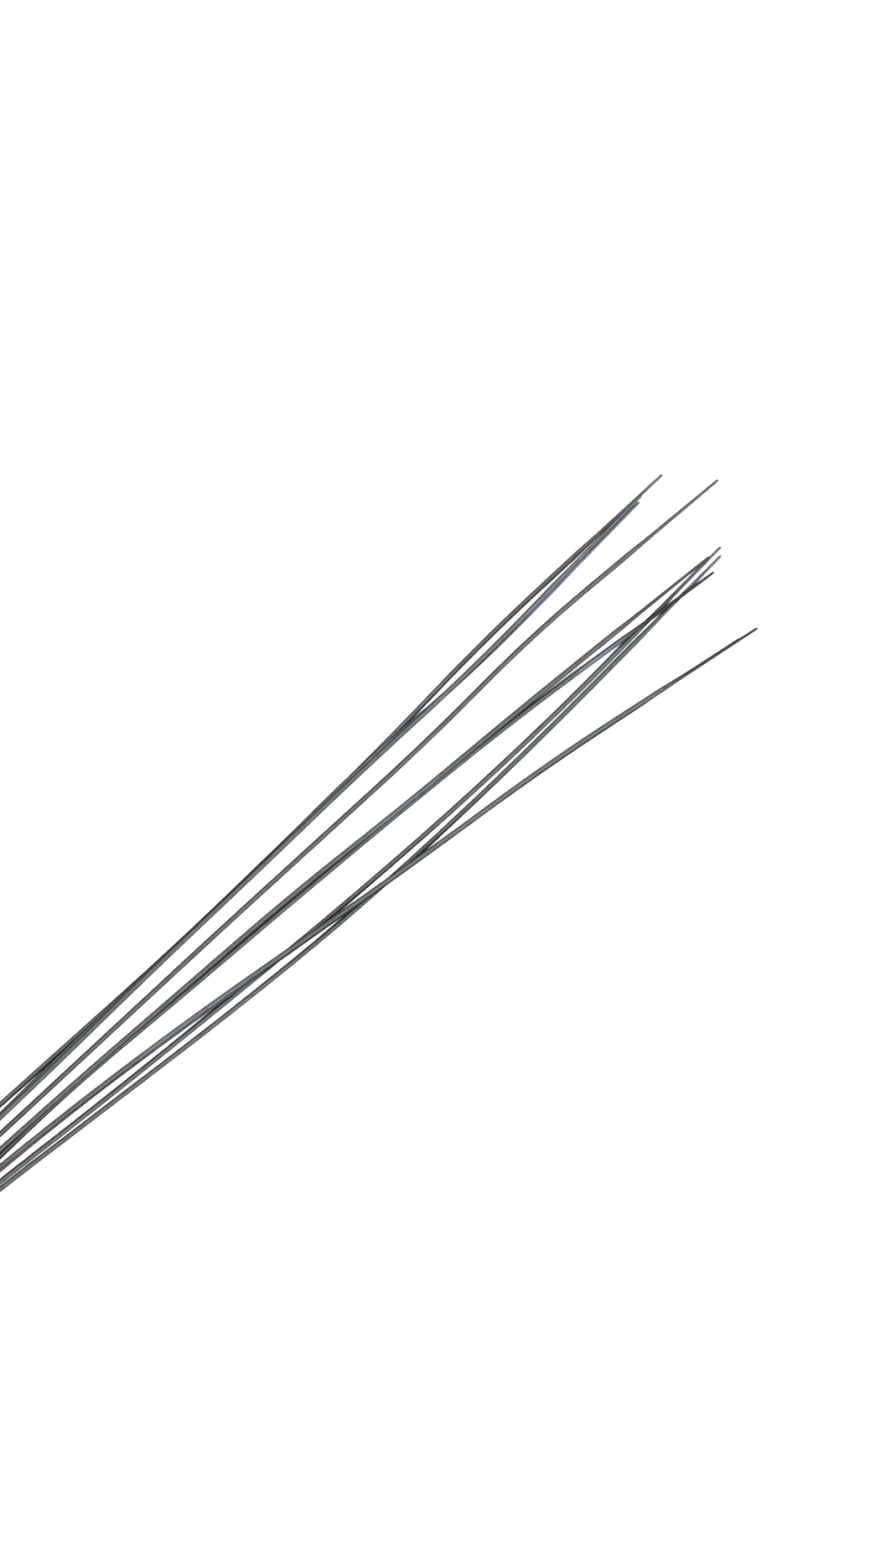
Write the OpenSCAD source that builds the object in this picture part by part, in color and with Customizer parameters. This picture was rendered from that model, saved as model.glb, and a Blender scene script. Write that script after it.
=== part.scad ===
// Ten steel double pointed knitting needles, lying in a loose fan on a flat surface.
// +X runs along the fan towards its spread end, +Z is up, and the surface is at z = 0.
// Every needle is a loose piece: a slender round shank, a little bent by use, with a
// ground point at each end.

/* [Needle] */
// Length of a needle, from point to point
needle_length = 230; // [225:1:235]
// Thickness of the shank
shank_d = 1; // [0.8:0.05:1]
// Thickness behind the fine part of a point
neck_d = 0.72; // [0.6:0.02:0.76]
// Thickness where a point starts to round over
nose_d = 0.54; // [0.4:0.02:0.58]

/* [Points] */
// Length of the quick taper from the shank down to the neck
shoulder_length = 9; // [7:0.5:10]
// Length of the slow taper from the neck down to the nose, with the nose
fine_length = 15; // [12:0.5:16]
// Length of the true straight rod behind each point
straight_length = 8; // [6:0.5:9]

/* [Fan] */
// Gap between a needle and the one it rests on
layer_gap = 0.08; // [0.06:0.01:0.1]

/* [Hidden] */
NODES = [
    "needle_01", "needle_02", "needle_03", "needle_04", "needle_05",
    "needle_06", "needle_07", "needle_08", "needle_09", "needle_10"
];

point_length = shoulder_length + fine_length;
layer_height = shank_d + layer_gap;

// How each needle lies, as chosen by hand:
// - where the point at the spread end lies on the surface, in millimetres
// - the way that the needle runs there, and then at each bend in turn towards the gathered
//   end, in degrees from +X towards +Y
// - the layer of the gathered point and of the spread point, where 0 lies on the surface
LIES = [
    [[115.1, 17.0],  [4, 7.5, 5.5, 5, 3, 3, 2.5],          [0, 0]],
    [[109.5, 16.4],  [7, 3.5, 5, 4.5, 5.5, 4.5, 3.5],      [2, 2]],
    [[108.4, 15.7],  [6.5, 1.5, 6.5, 4, 5, 5.5, 3],        [1, 1]],
    [[122.7, 9.6],   [1, 6.5, 3.5, 3.5, 4, 4, 3.5],        [0, 0]],
    [[112.1, -0.7],  [0, 1, -0.5, 2, 2, 3, 1.5],           [1, 2.1]],
    [[111.1, -3.5],  [-2.5, 0, 1, 1.5, 1, 5, 1.5],         [0, 1.1]],
    [[115.1, -0.6],  [6.5, 4, 2, 0.5, 0, -1, 0],           [0, 0]],
    [[114.1, -1.9],  [6.5, 5, 3, 0, -1.5, -1.5, 0.5],      [0, 0]],
    [[110.8, -16.9], [-6, -2.5, -3.5, -4, -2, 0, 1.5],     [2, 2]],
    [[107.0, -16.4], [-5.5, -2.5, -3.5, -3.5, -2, 1, 1],   [1, 1]]
];

// The bent part of a shank is made of bends that are equally long
bend_count = len(LIES[0][1]) - 1;
bend_length = (needle_length - 2 * point_length - 2 * straight_length) / bend_count;

// Every other stretch of a shank is a hair thinner, and bites into its neighbours at both ends
thin_d = shank_d - 0.01;
bite = 0.3;

// Facets round a needle, and round the circle that a bend is part of
sides = 32;
bend_sides = 64;

function height(layer) = shank_d / 2 + layer * layer_height;

// Radius of a stretch that turns by so many degrees; it is negative for a turn to the right
function bend_radius(turn) = bend_length / (turn * PI / 180);

// How far each bend turns, from the ways that the needle runs before and after it
function turns(ways) = [for (k = [1 : bend_count]) ways[k] - ways[k - 1]];

// A straight or tapered stretch from the origin along -X
module stretch(length, d_start, d_end) {
    rotate([0, -90, 0])
        cylinder(h = length, d1 = d_start, d2 = d_end, $fn = sides);
}

// A point with its tip at the origin, widening along -X to a shank of diameter d
module point(d) {
    nose_r = nose_d / 2;
    translate([-nose_r, 0, 0])
        sphere(r = nose_r, $fn = sides);
    translate([-nose_r, 0, 0])
        stretch(fine_length - nose_r, nose_d, neck_d);
    translate([-fine_length, 0, 0])
        stretch(shoulder_length, neck_d, d);
}

// A stretch of shank from the origin along -X that turns to one side as it goes, and
// reaches past both its ends by so much
module bend(turn, d, past) {
    if (turn == 0) {
        translate([past, 0, 0])
            stretch(bend_length + 2 * past, d, d);
    } else {
        radius = bend_radius(turn);
        past_angle = past / abs(radius) * 180 / PI;
        start = (turn > 0 ? 90 : turn - 90) - past_angle;
        translate([0, -radius, 0])
            rotate([0, 0, start])
                rotate_extrude(angle = abs(turn) + 2 * past_angle, $fn = bend_sides)
                    translate([abs(radius), 0])
                        circle(d = d, $fn = sides);
    }
}

// Puts what follows a bend at its far end
module after_bend(turn) {
    radius = turn == 0 ? 0 : bend_radius(turn);
    along = turn == 0 ? bend_length : radius * sin(turn);
    aside = radius * (1 - cos(turn));
    translate([-along, -aside, 0])
        rotate([0, 0, turn])
            children();
}

// The bends of a shank, one after another, then the straight rod and the far point
module rest_of_needle(turns, k = 0) {
    if (k < bend_count) {
        thin = k % 2 == 0;
        bend(turns[k], thin ? thin_d : shank_d, thin ? bite : 0);
        after_bend(turns[k])
            rest_of_needle(turns, k + 1);
    } else {
        translate([bite, 0, 0])
            stretch(bite + straight_length, thin_d, thin_d);
        translate([-straight_length - point_length, 0, 0])
            mirror([1, 0, 0])
                point(thin_d);
    }
}

// One whole needle, in its place in the fan
module needle(lie) {
    spread_at = lie[0];
    ways = lie[1];
    low = height(lie[2][0]);
    high = height(lie[2][1]);
    pitch = asin((high - low) / needle_length);
    color("slategray")
        translate([spread_at[0], spread_at[1], high])
            rotate([0, -pitch, ways[0]]) {
                point(shank_d);
                translate([-point_length, 0, 0])
                    stretch(straight_length, shank_d, shank_d);
                translate([-point_length - straight_length, 0, 0])
                    rest_of_needle(turns(ways));
            }
}

for (i = [0 : len(NODES) - 1])
    needle(LIES[i]);
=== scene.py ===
"""Ten steel double pointed knitting needles, lying in a loose fan on a pale floor."""

import math

import bpy
import numpy as np
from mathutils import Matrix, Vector


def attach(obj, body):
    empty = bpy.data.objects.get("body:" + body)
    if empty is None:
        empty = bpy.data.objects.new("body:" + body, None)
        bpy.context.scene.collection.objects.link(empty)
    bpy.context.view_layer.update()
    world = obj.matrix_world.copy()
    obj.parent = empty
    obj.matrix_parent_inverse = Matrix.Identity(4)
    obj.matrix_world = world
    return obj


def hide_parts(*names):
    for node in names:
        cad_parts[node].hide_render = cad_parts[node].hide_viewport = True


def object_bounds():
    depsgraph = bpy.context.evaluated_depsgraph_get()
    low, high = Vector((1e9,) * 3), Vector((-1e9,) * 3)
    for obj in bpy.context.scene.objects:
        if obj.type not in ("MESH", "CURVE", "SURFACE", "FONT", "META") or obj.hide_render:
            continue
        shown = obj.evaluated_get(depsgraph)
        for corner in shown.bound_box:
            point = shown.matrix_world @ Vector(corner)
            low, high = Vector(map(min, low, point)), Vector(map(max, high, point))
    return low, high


MM = 0.001

# A needle's own sizes, in millimetres
SHANK_R = 0.5
NECK_R = 0.36
NOSE_R = 0.27
NOSE_LENGTH = 0.5
FINE_LENGTH = 15.0
POINT_LENGTH = 24.0

# Rings of the CAD mesh are further apart than this, in millimetres
RING_GAP = 1.0

# How finely a needle is made, with the steps between its rings in millimetres
SIDES = 28
NOSE_RINGS = 8
POINT_STEP = 0.4
SHANK_STEP = 1.6

# How deep grinding cuts and how far a shank swells, as shares of the radius. A needle is made
# thinner by more than it swells, so that it is never thicker than the sizes above.
GRIND_DEPTH = 0.006
SWELL = 0.002
THINNED = 0.0025

# How fast the swelling comes and goes along a needle, in radians to a millimetre, and the
# highest angle that it can start at
SWELL_RATES = (0.10, 0.16)
SWELL_START = 6

# Each needle draws its chance values from a seed of its own, counted up from this one
FIRST_SEED = 100

# The camera looks straight down, with the fan turned in its view
VIEW_TURN = 38.86
VIEW_HEIGHT = 296.8 * MM
VIEW_CENTRE_X = 44.8 * MM
VIEW_CENTRE_Y = -1.6 * MM
LENS = 135.0
SENSOR = 36.0
CLIP_END = 100

# Where a pale blue highlight is painted into a needle's steel colour: from and to so many
# millimetres from its spread end, and how strong the painted highlight is. It fades out over the
# millimetres given below.
PAINTED_HIGHLIGHT_STRETCHES = {
    "needle_01": [(55, 80, 0.35)],
    "needle_02": [(2, 34, 0.6), (36, 60, 0.25)],
    "needle_03": [(0, 40, 1.0), (46, 74, 0.9)],
    "needle_04": [(20, 56, 0.1)],
    "needle_05": [(66, 84, 0.3)],
    "needle_06": [(22, 32, 0.9), (56, 78, 0.4)],
    "needle_07": [(0, 12, 0.8), (24, 36, 0.2)],
    "needle_08": [(0, 15, 1.0)],
    "needle_09": [(18, 76, 0.15), (116, 142, 0.5)],
    "needle_10": [(16, 72, 0.8), (112, 138, 0.7)],
}
HIGHLIGHT_FADE = 9.0

# How strong the dark film is on the points of each needle
POINT_FILM = {
    "needle_01": 0.1,
    "needle_02": 0.0,
    "needle_03": 0.0,
    "needle_04": 0.3,
    "needle_05": 0.7,
    "needle_06": 0.95,
    "needle_07": 0.3,
    "needle_08": 0.2,
    "needle_09": 0.95,
    "needle_10": 0.9,
}

# Colours of the steel, of its films, of the painted pale blue highlight, and of the floor
GREEN_STEEL = (0.325, 0.355, 0.342)
WARM_STEEL = (0.355, 0.362, 0.338)
# The pale blue of a painted highlight, laid into the steel's colour in place of mirrored light
PAINTED_HIGHLIGHT_BLUE = (0.53, 0.56, 0.70)
WORN_STEEL = (0.47, 0.48, 0.485)
DARK_FILM = (0.12, 0.125, 0.12)
FLOOR_DARKER = (0.80, 0.80, 0.80)
FLOOR_PALER = (0.82, 0.82, 0.82)

# How deep the steel's fine relief is
RELIEF_DEPTH = 0.02 * MM

# Where the specks' noise passes from sound steel to a pit
PIT_EDGE = (0.68, 0.74)

# How far a needle's noise is moved at most, so that no two needles look the same
NOISE_SHIFT = 50

# Half the floor's width, in metres
FLOOR_HALF = 12.0

# What the needles mirror: dark walls, rising to a dim ceiling
WALLS = (0.045, 0.048, 0.048)
CEILING = (0.58, 0.59, 0.59)

# What the camera sees beyond the floor
BEYOND_FLOOR = (0.95, 0.95, 0.95)

# The lights, in metres, degrees and watts
LIGHT_DISTANCE = 2.6
KEY_AZIMUTHS = {"key_right": 6, "key_left": 186}
KEY_ELEVATION = 50
KEY_SIZE = 1.5
KEY_POWER = 130
KEY_COLOUR = (1.0, 1.0, 1.0)
STRIP_AZIMUTH = -84
STRIP_ELEVATION = 38
STRIP_LENGTH = 1.5
STRIP_WIDTH = 0.35
STRIP_POWER = 3
STRIP_COLOUR = (0.78, 0.85, 1.0)


# ---------------------------------------------------------------- the needles' shapes

def centreline(node_object):
    """The middle line of a CAD needle, smoothed through the rings that its mesh is made of.

    Returns the needle's length and a function that gives the points at distances from its spread
    end, all in millimetres."""
    points = np.array([v.co for v in node_object.data.vertices]) / MM
    middle = points.mean(0)
    lengthwise = principal_directions(points)[0]
    lengthwise *= -np.sign(lengthwise[0])
    distance = (points - middle) @ lengthwise
    order = np.argsort(distance)
    cuts = np.flatnonzero(np.diff(distance[order]) > RING_GAP) + 1

    # The first and last groups are whole points, each straight on from the ring next to it
    rings = np.split(points[order], cuts)[1:-1]
    centres = np.array([(ring.min(0) + ring.max(0)) / 2 for ring in rings])
    headings = np.array([principal_directions(ring)[2] for ring in rings])
    headings *= -np.sign(headings[:, :1])
    to_start = ((points - centres[0]) @ headings[0]).min()
    to_end = ((points - centres[-1]) @ headings[-1]).max()
    start = centres[0] + to_start * headings[0]
    end = centres[-1] + to_end * headings[-1]
    knots = np.concatenate([[start], centres, [end]])
    headings = np.concatenate([headings[:1], headings, headings[-1:]])
    spans = np.linalg.norm(np.diff(knots, axis=0), axis=1)
    places = np.concatenate([[0], np.cumsum(spans)])

    def points_at(wanted):
        span = np.clip(np.searchsorted(places, wanted, "right") - 1, 0, len(spans) - 1)
        long = spans[span][:, None]
        t = (wanted - places[span])[:, None] / long
        eased = t * t * (3 - 2 * t)
        leaving = t * (1 - t) ** 2
        arriving = t * t * (t - 1)
        straight = knots[span] * (1 - eased) + knots[span + 1] * eased
        return straight + long * (leaving * headings[span] + arriving * headings[span + 1])

    return places[-1], points_at


def principal_directions(points):
    """The directions in which points spread, the longest first."""
    return np.linalg.svd(points - points.mean(0), full_matrices=False)[2]


def smooth(x):
    """Eases from 0 to 1."""
    x = np.clip(x, 0, 1)
    return x * x * (3 - 2 * x)


def radius_at(from_end):
    """The needle's radius at a distance from its nearer end, in millimetres."""
    nose = NOSE_R * np.sqrt(np.clip(1 - (1 - from_end / NOSE_LENGTH) ** 2, 0, 1))
    fine = NOSE_R + (NECK_R - NOSE_R) * (from_end - NOSE_LENGTH) / (FINE_LENGTH - NOSE_LENGTH)
    shoulder = smooth((from_end - FINE_LENGTH) / (POINT_LENGTH - FINE_LENGTH))
    shank = NECK_R + (SHANK_R - NECK_R) * shoulder
    body = np.where(from_end < FINE_LENGTH, fine, shank)
    return np.where(from_end < NOSE_LENGTH, nose, body)


def painted_highlight_share(places, stretches):
    """How strong the painted pale blue highlight is at each place, fading out at the ends of a
    stretch.
    """
    highlight_share = np.zeros(len(places))
    for start, end, strength in stretches:
        risen = smooth((places - start) / HIGHLIGHT_FADE + 0.5)
        fallen = smooth((end - places) / HIGHLIGHT_FADE + 0.5)
        highlight_share = np.maximum(highlight_share, strength * risen * fallen)
    return highlight_share


def ring_places(length):
    """Where the rings of a needle lie, from one end to the other: close at the points."""
    turns = np.linspace(0, math.pi / 2, NOSE_RINGS + 1)[1:]
    nose = NOSE_LENGTH * (1 - np.cos(turns))
    point = np.arange(NOSE_LENGTH + POINT_STEP, POINT_LENGTH, POINT_STEP)
    half = np.arange(POINT_LENGTH, length / 2, SHANK_STEP)
    near = np.concatenate([nose, point, half])
    return np.concatenate([near, (length - near)[::-1]])


def needle_mesh(name, node_object, rng):
    """A swept needle along the CAD needle's own middle line, with its grinding and swelling."""
    length, points_at = centreline(node_object)
    places = ring_places(length)
    from_end = np.minimum(places, length - places)
    radii = radius_at(from_end)

    # Grinding leaves fine rings on the points, and the drawn shank is never quite even
    on_point = 1 - smooth((from_end - FINE_LENGTH) / (POINT_LENGTH - FINE_LENGTH))
    grind = rng.uniform(-1, 0, len(places)) * GRIND_DEPTH * on_point
    swell_angle = places * rng.uniform(*SWELL_RATES) + rng.uniform(0, SWELL_START)
    swell = np.sin(swell_angle) * SWELL - THINNED
    radii = radii * (1 + grind + swell)

    centres = points_at(places)
    ends = points_at(np.array([0, length]))
    tangents = np.gradient(centres, places, axis=0)
    tangents /= np.linalg.norm(tangents, axis=1)[:, None]
    up = np.array([0.0, 0.0, 1.0])
    aside = np.cross(up, tangents)
    aside /= np.linalg.norm(aside, axis=1)[:, None]
    over = np.cross(tangents, aside)

    angles = np.arange(SIDES) * 2 * math.pi / SIDES
    cos, sin = np.cos(angles), np.sin(angles)
    outward = aside[:, None, :] * cos[:, None] + over[:, None, :] * sin[:, None]
    ring_points = centres[:, None, :] + radii[:, None, None] * outward
    vertices = np.concatenate([ends[:1], ring_points.reshape(-1, 3), ends[1:]])

    faces = []
    rings = len(places)
    for k in range(SIDES):
        after = (k + 1) % SIDES
        faces.append((0, 1 + after, 1 + k))
        last = 1 + (rings - 1) * SIDES
        faces.append((len(vertices) - 1, last + k, last + after))
        for i in range(rings - 1):
            here = 1 + i * SIDES
            there = here + SIDES
            faces.append((here + k, here + after, there + after, there + k))

    mesh = bpy.data.meshes.new(name)
    mesh.from_pydata((vertices * MM).tolist(), [], faces)
    mesh.shade_smooth()

    # The steel's grain runs in the needle's own straightened space, in millimetres
    grain = np.zeros((len(vertices), 3), np.float32)
    grain[1:-1, 0] = (radii[:, None] * cos).ravel()
    grain[1:-1, 1] = (radii[:, None] * sin).ravel()
    grain[1:-1, 2] = np.repeat(places, SIDES)
    grain[-1, 2] = length
    attribute = mesh.attributes.new("grain", "FLOAT_VECTOR", "POINT")
    attribute.data.foreach_set("vector", grain.ravel())
    ground = np.ones(len(vertices), np.float32)
    ground[1:-1] = np.repeat(on_point, SIDES)
    attribute = mesh.attributes.new("ground", "FLOAT", "POINT")
    attribute.data.foreach_set("value", ground)
    # Where a pale blue highlight is painted into the steel's colour, stored for the material
    highlight_share = painted_highlight_share(grain[:, 2], PAINTED_HIGHLIGHT_STRETCHES[node_object.name])
    attribute = mesh.attributes.new("highlight_share", "FLOAT", "POINT")
    attribute.data.foreach_set("value", highlight_share.astype(np.float32))
    mesh.validate()
    return mesh


# ---------------------------------------------------------------- the materials

class Nodes:
    """A short way to write a node tree."""

    # The Mix node has sockets for every kind of value. These are the ones for colours.
    FIRST_COLOUR = 6
    SECOND_COLOUR = 7
    MIXED_COLOUR = 2

    def __init__(self, owner):
        owner.use_nodes = True
        self.tree = owner.node_tree
        self.tree.nodes.clear()

    def add(self, kind, links=(), **settings):
        """A node of a kind, with its properties set, its sockets set, and links made to it."""
        node = self.tree.nodes.new("ShaderNode" + kind)
        sockets = settings.pop("sockets", {})
        for key, value in settings.items():
            setattr(node, key, value)
        for key, value in sockets.items():
            node.inputs[key].default_value = value
        for key, output in dict(links).items():
            self.tree.links.new(output, node.inputs[key])
        return node

    def noise(self, vector, scale, detail=3.0, roughness=0.5):
        """A noise texture's value."""
        node = self.add(
            "TexNoise",
            {"Vector": vector},
            sockets={"Scale": scale, "Detail": detail, "Roughness": roughness},
        )
        return node.outputs["Fac"]

    def stretched(self, vector, scale, shift):
        """The vector stretched by scale, and moved by shift so that each needle differs."""
        node = self.add(
            "Mapping", {"Vector": vector}, sockets={"Scale": scale, "Location": shift}
        )
        return node.outputs["Vector"]

    def ramp(self, value, low, high, low_value=0.0, high_value=1.0):
        """Maps low..high onto two values, without going past them."""
        node = self.add(
            "MapRange",
            {"Value": value},
            sockets={"From Min": low, "From Max": high, "To Min": low_value, "To Max": high_value},
        )
        return node.outputs["Result"]

    def mix(self, share, first, second):
        """Mixes two colours, each a colour or a socket."""
        node = self.add("Mix", data_type="RGBA")
        self.tree.links.new(share, node.inputs["Factor"])
        for place, colour in ((self.FIRST_COLOUR, first), (self.SECOND_COLOUR, second)):
            socket = node.inputs[place]
            if isinstance(colour, bpy.types.NodeSocket):
                self.tree.links.new(colour, socket)
            else:
                socket.default_value = (*colour, 1.0)
        return node.outputs[self.MIXED_COLOUR]

    def math(self, operation, first, second):
        """Works out one value from two, each a number or a socket."""
        node = self.add("Math", operation=operation)
        for socket, value in zip(node.inputs, (first, second)):
            if isinstance(value, bpy.types.NodeSocket):
                self.tree.links.new(value, socket)
            else:
                socket.default_value = value
        return node.outputs[0]


def drawn_steel(name, point_film, rng):
    """Drawn steel wire with ground points: lengthwise die lines, rings and a dark film on the
    points, a thin uneven film, stretches of painted pale blue highlight, small dark pits, and
    brighter metal where it is worn."""
    material = bpy.data.materials.new(name)
    n = Nodes(material)
    shift = tuple(rng.uniform(-NOISE_SHIFT, NOISE_SHIFT, 3))
    grain = n.add("Attribute", attribute_name="grain").outputs["Vector"]
    ground = n.add("Attribute", attribute_name="ground").outputs["Fac"]
    highlight_share = n.add("Attribute", attribute_name="highlight_share").outputs["Fac"]

    # Each noise is stretched by how often it changes across the needle, twice, and along it
    die_lines = n.noise(n.stretched(grain, (9.0, 9.0, 0.05), shift), 1.0, 4.0, 0.6)
    rings = n.noise(n.stretched(grain, (0.6, 0.6, 11.0), shift), 1.0, 3.0, 0.6)
    patches = n.noise(n.stretched(grain, (0.5, 0.5, 0.11), shift), 1.0, 3.0, 0.55)
    mottle = n.noise(n.stretched(grain, (1.6, 1.6, 0.55), shift), 1.0, 4.0, 0.6)
    specks = n.noise(n.stretched(grain, (4.0, 4.0, 3.0), shift), 1.0, 2.0, 0.5)

    greens = n.mix(n.ramp(patches, 0.42, 0.68), GREEN_STEEL, WARM_STEEL)
    # Painted highlight: pale blue laid into the colour along the given stretches, in place of
    # mirrored light
    painted_highlight_mask = n.math("MULTIPLY", highlight_share, n.ramp(patches, 0.25, 0.5, 0.55, 1.0))
    tint_and_highlight = n.mix(painted_highlight_mask, greens, PAINTED_HIGHLIGHT_BLUE)
    filmed = n.mix(n.ramp(mottle, 0.50, 0.72, 0.0, 0.55), tint_and_highlight, DARK_FILM)
    streaked = n.mix(n.ramp(die_lines, 0.42, 0.70, 0.0, 0.5), filmed, WORN_STEEL)
    ring_wear = n.math("MULTIPLY", ground, n.ramp(rings, 0.35, 0.65, 0.0, 0.35))
    worn = n.mix(ring_wear, streaked, WORN_STEEL)
    darkened = n.mix(n.math("MULTIPLY", ground, point_film), worn, DARK_FILM)
    pitted = n.mix(n.ramp(specks, *PIT_EDGE, 0.0, 0.8), darkened, DARK_FILM)

    die_rough = n.ramp(die_lines, 0.3, 0.7, 0.22, 0.38)
    roughness = n.math("ADD", die_rough, n.ramp(mottle, 0.4, 0.7, 0.0, 0.12))

    shank_relief = n.math("MULTIPLY", die_lines, n.math("SUBTRACT", 1.0, ground))
    point_relief = n.math("MULTIPLY", rings, ground)
    relief = n.math("ADD", shank_relief, point_relief)
    relief = n.math("SUBTRACT", relief, n.ramp(specks, *PIT_EDGE, 0.0, 1.0))
    bump = n.add(
        "Bump", {"Height": relief}, sockets={"Strength": 0.35, "Distance": RELIEF_DEPTH}
    )

    shader = n.add(
        "BsdfPrincipled",
        {"Base Color": pitted, "Roughness": roughness, "Normal": bump.outputs["Normal"]},
        sockets={"Metallic": 1.0, "Anisotropic": 0.35},
    )
    n.add("OutputMaterial", {"Surface": shader.outputs[0]})
    return material


def floor_material():
    """A plain pale floor with a faint unevenness."""
    material = bpy.data.materials.new("pale_floor")
    n = Nodes(material)
    where = n.add("NewGeometry").outputs["Position"]
    mottle = n.noise(where, 3.0)
    colour = n.mix(n.ramp(mottle, 0.3, 0.7), FLOOR_DARKER, FLOOR_PALER)
    shader = n.add("BsdfPrincipled", {"Base Color": colour}, sockets={"Roughness": 0.9})
    n.add("OutputMaterial", {"Surface": shader.outputs[0]})
    return material


# ---------------------------------------------------------------- the stage

def link(data, name):
    """A new object in the scene."""
    thing = bpy.data.objects.new(name, data)
    bpy.context.scene.collection.objects.link(thing)
    return thing


def make_floor(height):
    """A wide flat floor at a height."""
    mesh = bpy.data.meshes.new("floor")
    corners = [(-1, -1), (1, -1), (1, 1), (-1, 1)]
    vertices = [(x * FLOOR_HALF, y * FLOOR_HALF, height) for x, y in corners]
    mesh.from_pydata(vertices, [], [(0, 1, 2, 3)])
    floor = link(mesh, "floor")
    mesh.materials.append(floor_material())

    # The needles don't mirror the floor, so that their flanks stay dark
    floor.visible_glossy = False


def make_camera():
    """The camera, at the photograph's viewing angle."""
    data = bpy.data.cameras.new("camera")
    data.lens = LENS
    data.sensor_width = SENSOR
    data.clip_end = CLIP_END
    camera = link(data, "camera")
    distance = VIEW_HEIGHT * LENS / SENSOR
    camera.location = (VIEW_CENTRE_X, VIEW_CENTRE_Y, distance)
    camera.rotation_euler = (0, 0, -math.radians(VIEW_TURN))
    bpy.context.scene.camera = camera


def make_light(name, azimuth, elevation, width, height, power, colour):
    """A soft rectangular light that faces the middle of the fan. Azimuth turns from +X to +Y."""
    data = bpy.data.lights.new(name, "AREA")
    data.shape = "RECTANGLE"
    data.size = width
    data.size_y = height
    data.energy = power
    data.color = colour
    light = link(data, name)
    a, e = math.radians(azimuth), math.radians(elevation)
    away = Vector((math.cos(a) * math.cos(e), math.sin(a) * math.cos(e), math.sin(e)))
    light.location = away * LIGHT_DISTANCE
    light.rotation_euler = away.to_track_quat("Z", "Y").to_euler()
    return light


def make_lights():
    """Two soft boxes, beyond the needles' ends, make the floor bright. The needles don't mirror
    them. They mirror a dim ceiling, a pale strip on one side, and dark walls."""
    for name, azimuth in KEY_AZIMUTHS.items():
        soft_box = make_light(
            name, azimuth, KEY_ELEVATION, KEY_SIZE, KEY_SIZE, KEY_POWER, KEY_COLOUR
        )
        soft_box.visible_glossy = False
    make_light(
        "side_strip", STRIP_AZIMUTH, STRIP_ELEVATION, STRIP_LENGTH, STRIP_WIDTH, STRIP_POWER,
        STRIP_COLOUR,
    )

    world = bpy.data.worlds.new("studio")
    world.use_nodes = True
    n = Nodes(world)
    way = n.add("TexCoord").outputs["Generated"]
    upward = n.add("SeparateXYZ", {"Vector": way}).outputs["Z"]
    room = n.mix(n.ramp(upward, -0.1, 1.0), WALLS, CEILING)
    dim = n.add("Background", {"Color": room})
    pale = n.add("Background", sockets={"Color": (*BEYOND_FLOOR, 1.0)})
    is_seen = n.add("LightPath").outputs["Is Camera Ray"]
    seen = n.add("MixShader", {0: is_seen, 1: dim.outputs[0], 2: pale.outputs[0]})
    n.add("OutputWorld", {"Surface": seen.outputs[0]})
    bpy.context.scene.world = world
    bpy.context.scene.view_settings.view_transform = "Standard"


# ---------------------------------------------------------------- everything together

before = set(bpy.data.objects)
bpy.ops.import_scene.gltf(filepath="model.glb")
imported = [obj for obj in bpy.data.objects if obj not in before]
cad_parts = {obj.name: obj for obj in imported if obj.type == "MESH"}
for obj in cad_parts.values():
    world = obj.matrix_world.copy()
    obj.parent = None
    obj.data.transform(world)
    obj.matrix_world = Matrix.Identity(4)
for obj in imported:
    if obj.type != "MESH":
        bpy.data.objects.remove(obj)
cad_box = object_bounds()
floor_height = cad_box[0].z

for number, node in enumerate(sorted(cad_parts)):
    rng = np.random.default_rng(FIRST_SEED + number)
    mesh = needle_mesh(node + "_steel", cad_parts[node], rng)
    piece = link(mesh, node + "_steel")
    mesh.materials.append(drawn_steel(node + "_drawn_steel", POINT_FILM[node], rng))
    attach(piece, node)
    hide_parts(node)

make_floor(floor_height)
make_camera()
make_lights()
